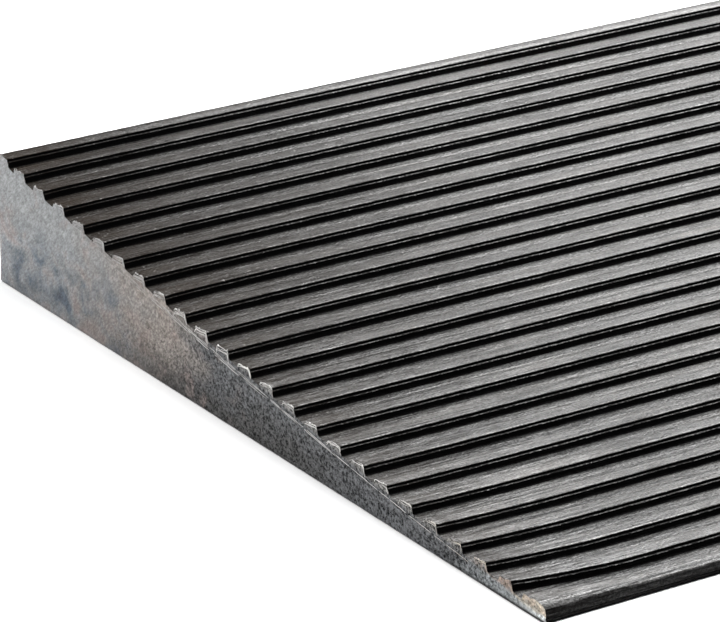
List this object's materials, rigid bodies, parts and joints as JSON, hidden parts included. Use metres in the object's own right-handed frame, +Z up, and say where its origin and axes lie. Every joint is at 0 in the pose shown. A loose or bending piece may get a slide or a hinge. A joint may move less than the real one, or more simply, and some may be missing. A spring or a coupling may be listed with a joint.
{
  "type": "portable wheelchair ramp",
  "caption": "Low rubber threshold ramp: a solid wedge under a ribbed, gently hollow deck, with a level top strip, a blunt toe and one end cut with a saw.",
  "frame": {"origin": "middle of the flat underside, on the floor", "axes": "+Z up, +Y uphill towards the step or sill, +X along the ribs; the sawn end faces -X"},
  "size_m": [0.9, 0.2434, 0.0345],
  "materials": {
    "tread_rubber": "moulded black rubber with a soft sheen along the ribs",
    "core_rubber": "dense black rubber, matt and mottled where it is sawn"
  },
  "bodies": {
    "root": {"ribbed_tread": "tread_rubber", "wedge_core": "core_rubber"}
  },
  "joints": []
}
